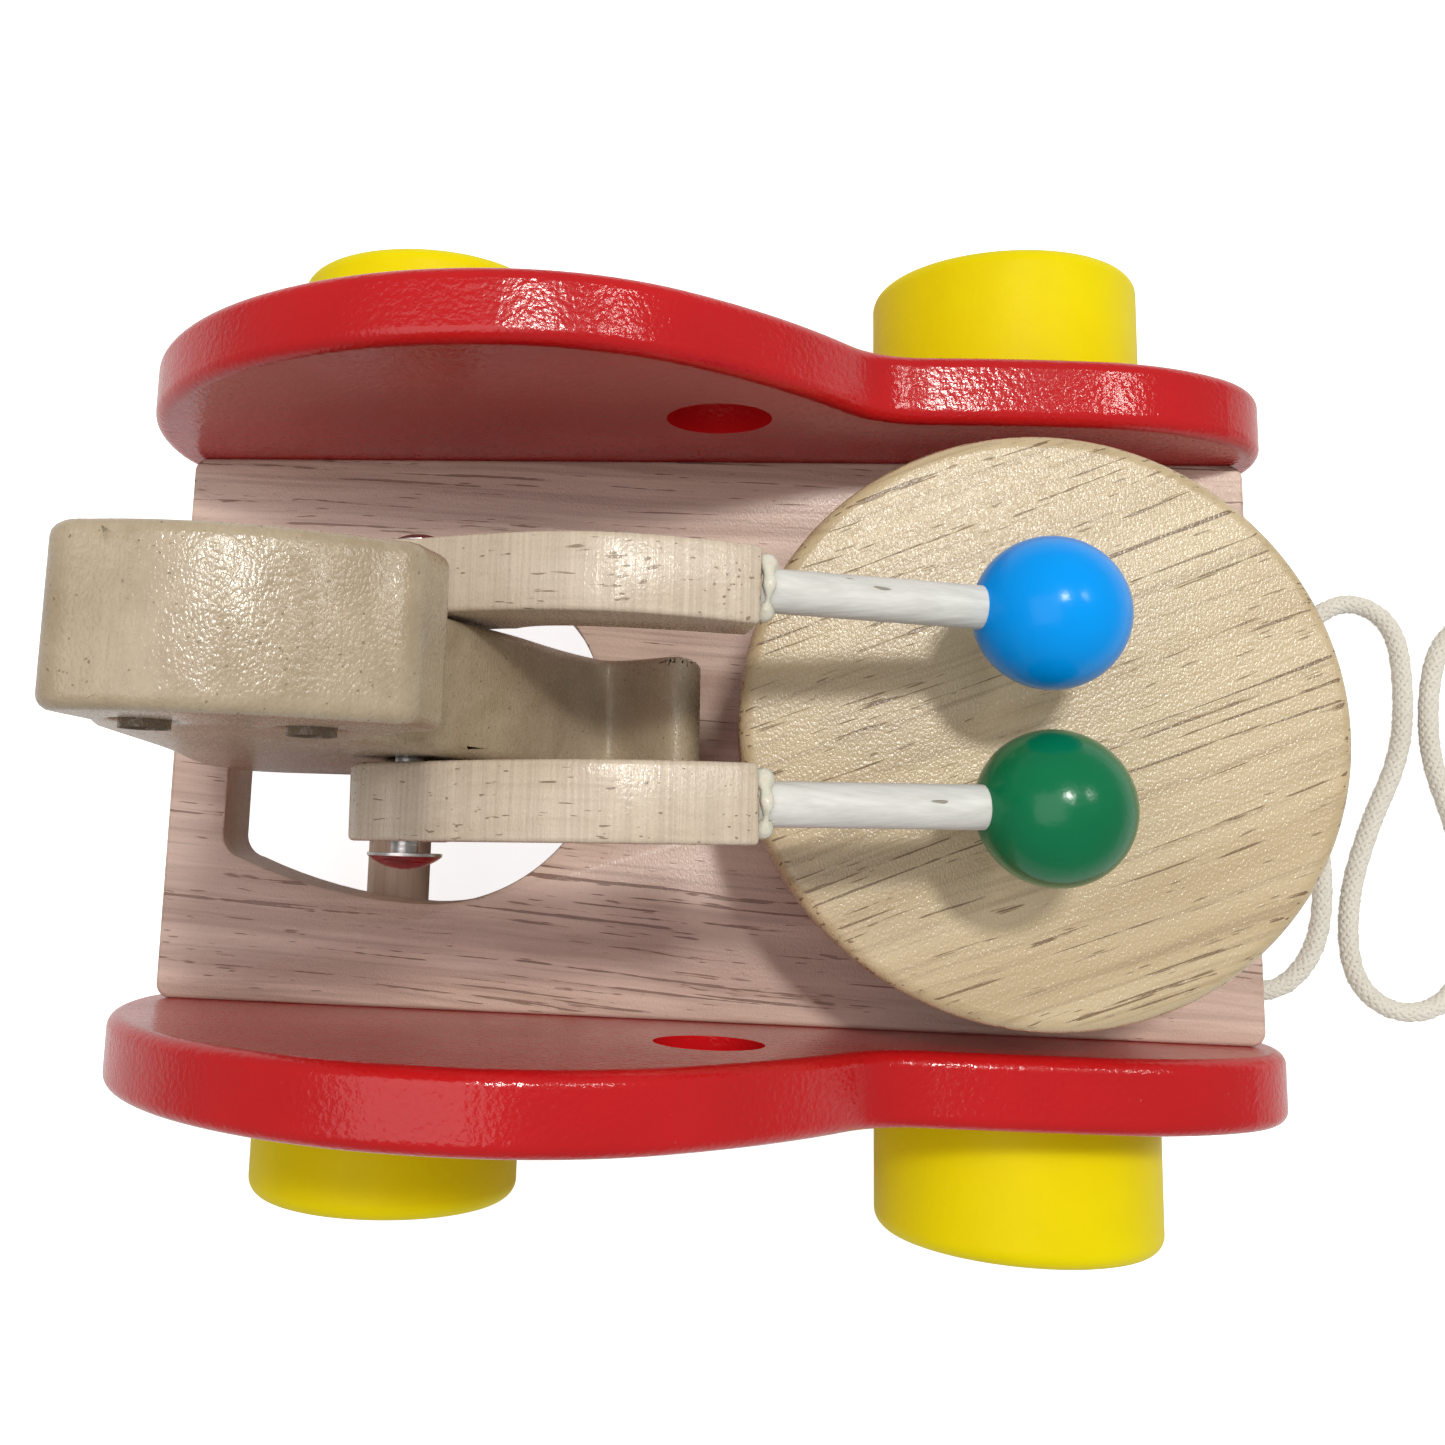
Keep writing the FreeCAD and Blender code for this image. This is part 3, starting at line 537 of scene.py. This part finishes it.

# %% [markdown]
# ### The marks in the head
# Shallow round marks are drilled in both sides of the head. Inside each circle the wood
# is painted dark: painted shade, as dark as a deep drilled hole looks. The circles are
# picked out by distance from their centres, seen from the side.

# %% Darken the drilled marks
MARKS = ((-54.6 * MM, 165.7 * MM), (-38.6 * MM, 160.1 * MM))
MARK_RADIUS = 2.9 * MM
MARK_RIM = 0.3 * MM         # width of the rim where the dark fades in
# Colour of the painted shade inside each drilled mark
HOLE_SHADE = (0.085, 0.05, 0.03, 1)


def paint_hole_shade(material):
    r = Recipe(material.node_tree)
    shader = material.node_tree.nodes["Principled BSDF"]
    plain = shader.inputs["Base Color"].links[0].from_socket
    place = r.add("ShaderNodeTexCoord").outputs["Object"]
    sideways = r.add("ShaderNodeVectorMath", i0=place, i1=(1.0, 0.0, 1.0))
    sideways.operation = "MULTIPLY"
    inside = 0.0
    for x, z in MARKS:
        gap = r.add("ShaderNodeVectorMath", i0=sideways.outputs[0], i1=(x, 0.0, z))
        gap.operation = "DISTANCE"
        circle = r.remap(gap.outputs["Value"], MARK_RADIUS, MARK_RADIUS - MARK_RIM)
        inside = r.math("MAXIMUM", inside, circle)
    # Paint the shade into the circles
    r.feed(shader, {"Base Color": r.mix(inside, plain, HOLE_SHADE)})


paint_hole_shade(figure_wood)
print("marks", len(MARKS))

# %% [markdown]
# ### The base plate
# The plate is the same wood, pinker, and the opening through it was milled and left
# rough and brown. The rough wall is picked out by place: upright faces inside the box
# that holds the opening.

# %% Base plate wood
base_wood = wood("base_wood", (0.72, 0.55, 0.455), (0.50, 0.35, 0.28), (0.24, 0.14, 0.10), (0, 0, 3),
                 pores=0.35, streaks=0.80, bands=1.0, gloss=0.3, offset=(0.0, -0.01, 0.0),
                 glitter=0.9)
OPENING_X = -50.5 * MM      # middle of the box that holds the opening
OPENING_HALF_LENGTH = 36.2 * MM
OPENING_HALF_WIDTH = 34 * MM
UPRIGHT = 0.6               # a wall's normal has less Z than this


def darken_opening(material):
    r = Recipe(material.node_tree)
    shader = material.node_tree.nodes["Principled BSDF"]
    grain = shader.inputs["Base Color"].links[0].from_socket
    place = r.add("ShaderNodeTexCoord").outputs["Object"]
    spot = r.add("ShaderNodeSeparateXYZ", Vector=place)
    normal = r.add("ShaderNodeNewGeometry").outputs["True Normal"]
    face = r.add("ShaderNodeSeparateXYZ", Vector=normal)
    mask = 1.0
    for value, middle, limit in ((face.outputs["Z"], 0.0, UPRIGHT),
                                 (spot.outputs["Y"], MIDDLE, OPENING_HALF_WIDTH),
                                 (spot.outputs["X"], OPENING_X, OPENING_HALF_LENGTH)):
        away = r.math("ABSOLUTE", r.math("SUBTRACT", value, middle))
        mask = r.math("MULTIPLY", mask, r.math("LESS_THAN", away, limit))
    burnt = r.noise(r.stretch(place, (300, 300, 900)), 1.0, 3.0)
    brown = r.mix(burnt, (0.50, 0.34, 0.24, 1), (0.78, 0.61, 0.48, 1))
    r.feed(shader, {"Base Color": r.mix(mask, grain, brown)})


darken_opening(base_wood)
print("base plate wood ready")

# %% [markdown]
# ### Enamel
# The side panels are dipped in thick red enamel, the wheels sprayed satin yellow, and the
# beads glossy blue and green. Pigment is never quite even, so the tone drifts a little.

# %% Painted finishes


def enamel(name, colour, shade, rough, peel_depth, peel_scale, waves, level):
    material, r, shader, place = start_material(name)
    film = use_group(r, paint_film, Vector=place, Peel_Scale=peel_scale, Waves=waves)
    tone = film.outputs["Tone"]
    base = r.mix(r.remap(tone, 0.35, 0.65), (*colour, 1), (*shade, 1))
    base = r.mix(r.math("MULTIPLY", film.outputs["Dust"], 0.25), base, (0.8, 0.78, 0.75, 1))
    r.feed(shader, {"Base Color": base,
                    "Roughness": r.remap(tone, 0.3, 0.7, rough - 0.03, rough + 0.05)})
    shader.inputs["Specular IOR Level"].default_value = level
    add_bump(r, shader, film.outputs["Height"], peel_depth)
    return material


red_enamel = enamel("red_enamel", (0.53, 0.007, 0.009), (0.46, 0.005, 0.007), 0.16, 0.00012,
                    peel_scale=1100.0, waves=0.6, level=0.42)
yellow_enamel = enamel("yellow_enamel", (0.84, 0.71, 0.001), (0.77, 0.63, 0.0008), 0.42, 0.00006,
                       peel_scale=800.0, waves=0.8, level=0.08)
blue_enamel = enamel("blue_enamel", (0.0, 0.31, 0.88), (0.0, 0.28, 0.82), 0.22, 0.00004,
                     peel_scale=600.0, waves=0.4, level=0.16)
green_enamel = enamel("green_enamel", (0.001, 0.175, 0.065), (0.001, 0.14, 0.052), 0.20, 0.00005,
                      peel_scale=600.0, waves=0.4, level=0.3)
print("paints ready")

# %% [markdown]
# ### Painted sticks, glue, steel and cotton
# The drumsticks have one thin coat of off-white, so the wood's lines show through as
# raised grain and fine cracks along the stick. Dried glue is yellowed and clear enough to
# shine. The pin is plated steel. Cotton scatters light, which sheen imitates.

# %% Small finishes


def stick_paint():
    material, r, shader, place = start_material("stick_paint")
    lines = r.noise(r.stretch(place, (22, 900, 900)), 1.0, 2.0, 0.6)
    crack_noise = r.noise(r.stretch(place, (14, 900, 900), (0.1, 0.3, 0.2)), 1.0, 1.0)
    crack = r.remap(crack_noise, 0.74, 0.77)
    base = r.mix(r.remap(lines, 0.3, 0.7), (0.70, 0.70, 0.66, 1), (0.58, 0.58, 0.54, 1))
    base = r.mix(crack, base, (0.28, 0.25, 0.20, 1))
    r.feed(shader, {"Base Color": base, "Roughness": r.remap(lines, 0.3, 0.7, 0.42, 0.6)})
    add_bump(r, shader, r.math("SUBTRACT", lines, crack), 0.00012)
    return material


def dried_glue():
    material, r, shader, place = start_material("dried_glue")
    lumps = r.noise(place, 700.0, 2.0)
    r.feed(shader, {"Base Color": r.mix(lumps, (0.62, 0.60, 0.48, 1), (0.74, 0.72, 0.62, 1)),
                    "Roughness": r.remap(lumps, 0.3, 0.7, 0.18, 0.34)})
    shader.inputs["Subsurface Weight"].default_value = 0.15
    shader.inputs["Subsurface Scale"].default_value = 0.002
    add_bump(r, shader, lumps, 0.0003)
    return material


def plated_steel():
    material, r, shader, place = start_material("plated_steel")
    scratches = r.noise(r.stretch(place, (300, 4000, 300)), 1.0, 2.0)
    stain = r.noise(place, 320.0, 3.0)
    r.feed(shader, {"Base Color": r.mix(r.remap(stain, 0.45, 0.7), (0.62, 0.61, 0.60, 1),
                                        (0.40, 0.36, 0.34, 1)),
                    "Roughness": r.remap(scratches, 0.3, 0.7, 0.22, 0.42)})
    shader.inputs["Metallic"].default_value = 1.0
    add_bump(r, shader, scratches, 0.00002)
    return material


def cotton():
    material, r, shader, place = start_material("cotton")
    fuzz = r.noise(place, 5200.0, 2.0)
    soil = r.noise(place, 60.0, 3.0)
    base = r.mix(r.remap(fuzz, 0.3, 0.7), (0.84, 0.82, 0.74, 1), (0.72, 0.69, 0.60, 1))
    base = r.mix(r.remap(soil, 0.5, 0.75, 0.0, 0.3), base, (0.62, 0.57, 0.47, 1))
    r.feed(shader, {"Base Color": base, "Roughness": r.remap(fuzz, 0.3, 0.7, 0.75, 0.92)})
    shader.inputs["Sheen Weight"].default_value = 0.25
    shader.inputs["Sheen Roughness"].default_value = 0.5
    add_bump(r, shader, fuzz, 0.00008)
    return material


def floor_paper():
    material, r, shader, place = start_material("floor_paper")
    fibre = r.noise(place, 400.0, 3.0)
    seen = r.math("MULTIPLY", r.add("ShaderNodeLightPath").outputs["Is Camera Ray"], FLOOR_SEEN)
    r.feed(shader, {"Base Color": r.mix(fibre, (0.88, 0.88, 0.88, 1), (0.86, 0.86, 0.86, 1)),
                    "Roughness": r.remap(fibre, 0, 1, 0.85, 0.95), "Emission Strength": seen})
    shader.inputs["Emission Color"].default_value = (1, 1, 1, 1)
    return material


painted_stick = stick_paint()
glue = dried_glue()
steel = plated_steel()
cotton_yarn = cotton()
floor.data.materials.append(floor_paper())
print("small finishes ready")

# %% [markdown]
# ## Easing the edges of boards
# Sanded wood has soft edges that catch the light. A copy of the board's mesh is merged,
# flat areas are dissolved to single faces, and a Bevel modifier rounds every sharp edge.
# The CAD part itself is left alone and hidden.

# %% Copy a board and round its edges
MERGE_GAP = 0.000002        # points nearer than this are one point
FLAT = math.radians(0.6)    # faces that meet flatter than this become one face
SHARP = math.radians(38)    # edges sharper than this are rounded
SMOOTH = math.radians(32)   # edges flatter than this are shaded smooth


def dress(obj, material):
    obj.data.materials.clear()
    obj.data.materials.append(material)


def eased_board(node, name, body, material, width, segments):
    mesh = nodes[node].data.copy()
    board = bpy.data.objects.new(name, mesh)
    scene.collection.objects.link(board)
    make_active(board)
    bpy.ops.object.mode_set(mode="EDIT")
    bpy.ops.mesh.select_all(action="SELECT")
    bpy.ops.mesh.remove_doubles(threshold=MERGE_GAP)
    bpy.ops.mesh.dissolve_limited(angle_limit=FLAT)
    bpy.ops.mesh.select_all(action="DESELECT")
    bpy.ops.object.mode_set(mode="OBJECT")
    bevel = board.modifiers.new("ease", "BEVEL")
    bevel.width = width
    bevel.segments = segments
    bevel.limit_method = "ANGLE"
    bevel.angle_limit = SHARP
    bevel.use_clamp_overlap = False
    bevel.loop_slide = False
    bpy.ops.object.modifier_apply(modifier=bevel.name)
    bpy.ops.object.shade_smooth_by_angle(angle=SMOOTH)
    dress(board, material)
    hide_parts(node)
    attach(board, body)
    print(name, "faces", len(board.data.polygons))


# %% [markdown]
# ## The boards
# Base plate, figure and arms are all sawn from board and sanded. The figure's edges are
# the roundest, the plate's the sharpest.

# %% Make the boards
eased_board("base_plate", "base_board", "chassis", base_wood, 0.0006, 2)
eased_board("figure_body", "figure_board", "chassis", figure_wood, 0.0016, 4)
for side in ("left", "right"):
    eased_board("arm_" + side, "arm_board_" + side, side + "_arm", arm_wood, 0.0007, 3)

# %% [markdown]
# ## Painted and turned parts
# The side panels, wheels, drum, sticks, beads and the small parts already have their
# rounded rims in CAD, so each keeps its own mesh and gets its finish.

# %% Finish the CAD parts that stay
FINISHES = {
    red_enamel: ["left_side_panel", "right_side_panel"],
    yellow_enamel: ["front_wheel_left", "front_wheel_right", "rear_wheel_left", "rear_wheel_right"],
    drum_wood: ["drum_disc"],
    dowel_wood: ["front_axle", "rear_axle", "drum_post", "cam_left", "cam_right", "panel_dowels"],
    blue_enamel: ["stick_bead_left"],
    green_enamel: ["stick_bead_right"],
    painted_stick: ["drumstick_left", "drumstick_right"],
    steel: ["shoulder_pin", "pin_cap", "figure_screws", "drum_screw"],
}
for material, names in FINISHES.items():
    for name in names:
        dress(nodes[name], material)
print("finished", sum(len(names) for names in FINISHES.values()), "CAD parts")

# %% [markdown]
# ## Dried glue
# A little glue was squeezed out where each stick enters its arm, and dried as an uneven
# ring. A thin torus round the stick gives the ring, and its points are then moved a little
# in and out by a few sine waves, so that it looks like a run and not like a washer.

# %% Squeeze out the glue
GLUE_RING = 0.0032          # from the stick's middle to the middle of the ring's section
GLUE_THICK = 0.0010         # radius of the ring's section
GLUE_SUNK = 0.0003          # how far it lies nearer to the arm than the plain ring


def glue_ring(side):
    low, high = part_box("glue_collar_" + side)
    bead_low, bead_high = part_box("stick_bead_" + side)
    along = ((bead_low + bead_high) / 2 - (low + high) / 2).normalized()
    centre = (low + high) / 2 - along * GLUE_SUNK
    deselect_all()
    bpy.ops.mesh.primitive_torus_add(major_radius=GLUE_RING, minor_radius=GLUE_THICK,
                                     major_segments=56, minor_segments=14)
    ring = bpy.context.active_object
    for vertex in ring.data.vertices:
        angle = math.atan2(vertex.co.y, vertex.co.x)
        swell = 1 + 0.45 * math.sin(2 * angle + 1) + 0.3 * math.sin(5 * angle)
        core = Vector((math.cos(angle), math.sin(angle), 0)) * GLUE_RING
        vertex.co = core + (vertex.co - core) * swell
    facing = along.to_track_quat("Z", "Y").to_matrix().to_4x4()
    ring.matrix_world = Matrix.Translation(centre) @ facing
    bpy.ops.object.transform_apply(location=True, rotation=True, scale=True)
    bpy.ops.object.shade_smooth()
    ring.name = "glue_ring_" + side
    dress(ring, glue)
    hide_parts("glue_collar_" + side)
    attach(ring, side + "_arm")
    return ring


print("glue", [glue_ring(side).name for side in ("left", "right")])

# %% [markdown]
# ## Knots and the pull bead
# The stopper knot under the drum and the one behind the bead are the cord wrapped round
# itself. A few tori at different tilts give the wraps. The bead is turned wood with a
# bore, so it starts as a sphere with its poles along the cord. They are cut open and the
# two rims are joined by a tunnel.

# %% Tie the knots
WRAPS = ((18, 0), (-24, 60), (70, 25), (95, -30))   # each wrap's tilt and turn, in degrees
STOPPER_DROP = 0.0045       # from the CAD knot's top to the middle of the tied one


def knot(name, centre, wrap_radius, yarn_radius, nodes_replaced):
    rings = []
    for tilt, spin in WRAPS:
        deselect_all()
        bpy.ops.mesh.primitive_torus_add(
            major_radius=wrap_radius, minor_radius=yarn_radius, major_segments=40,
            minor_segments=16, location=centre,
            rotation=(math.radians(tilt), math.radians(spin / 2), math.radians(spin)))
        rings.append(bpy.context.active_object)
    deselect_all()
    for ring in rings:
        ring.select_set(True)
    bpy.context.view_layer.objects.active = rings[0]
    bpy.ops.object.join()
    tied = bpy.context.active_object
    bpy.ops.object.transform_apply(location=True, rotation=True, scale=True)
    tied.name = name
    bpy.ops.object.shade_smooth()
    dress(tied, cotton_yarn)
    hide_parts(*nodes_replaced)
    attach(tied, "chassis")
    return tied


low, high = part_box("cord_knot")
stopper = knot("stopper_knot", (low.x / 2 + high.x / 2, MIDDLE, high.z - STOPPER_DROP),
               0.0025, 0.0019, ["cord_knot"])
low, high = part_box("end_knot")
last_knot = knot("last_knot", tuple((low + high) / 2), 0.0021, 0.0017, ["end_knot"])
print("knots", stopper.name, last_knot.name)

# %% Turn the pull bead
BORE_RADIUS = 0.0026
low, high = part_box("pull_bead")
bead_centre, bead_radius = (low + high) / 2, (high.z - low.z) / 2
deselect_all()
bpy.ops.mesh.primitive_uv_sphere_add(segments=48, ring_count=32, radius=bead_radius,
                                     location=bead_centre, rotation=(0, math.pi / 2, 0))
pull_bead = bpy.context.active_object
bpy.ops.object.transform_apply(location=True, rotation=True, scale=True)
bpy.ops.object.mode_set(mode="EDIT")
bpy.ops.mesh.select_mode(type="VERT")
bpy.ops.mesh.select_all(action="DESELECT")
bpy.ops.object.mode_set(mode="OBJECT")
for vertex in pull_bead.data.vertices:
    offset = vertex.co - bead_centre
    vertex.select = math.hypot(offset.y, offset.z) < BORE_RADIUS
bpy.ops.object.mode_set(mode="EDIT")
bpy.ops.mesh.delete(type="VERT")
bpy.ops.mesh.select_all(action="DESELECT")
bpy.ops.mesh.select_non_manifold()
bpy.ops.mesh.bridge_edge_loops()
bpy.ops.mesh.select_all(action="SELECT")
bpy.ops.mesh.normals_make_consistent(inside=False)
bpy.ops.object.mode_set(mode="OBJECT")
bpy.ops.object.shade_smooth_by_angle(angle=math.radians(40))
pull_bead.name = "turned_pull_bead"
dress(pull_bead, pull_wood)
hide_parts("pull_bead")
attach(pull_bead, "chassis")
print("pull bead faces", len(pull_bead.data.polygons))

# %% [markdown]
# ## Finishing the cord
# The core and the braid get the cotton finish and go with the chassis, and the CAD cord parts are
# hidden.

# %% Attach the cord
dress(cord_core, cotton_yarn)
dress(cord_braid, cotton_yarn)
for piece in (cord_core, cord_braid):
    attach(piece, "chassis")
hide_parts("pull_cord", "cord_coil", "cord_tail")

# %% [markdown]
# ## The end
# The finished look must not change the toy's size. Last, nothing is left selected.

# %% Finish
deselect_all()
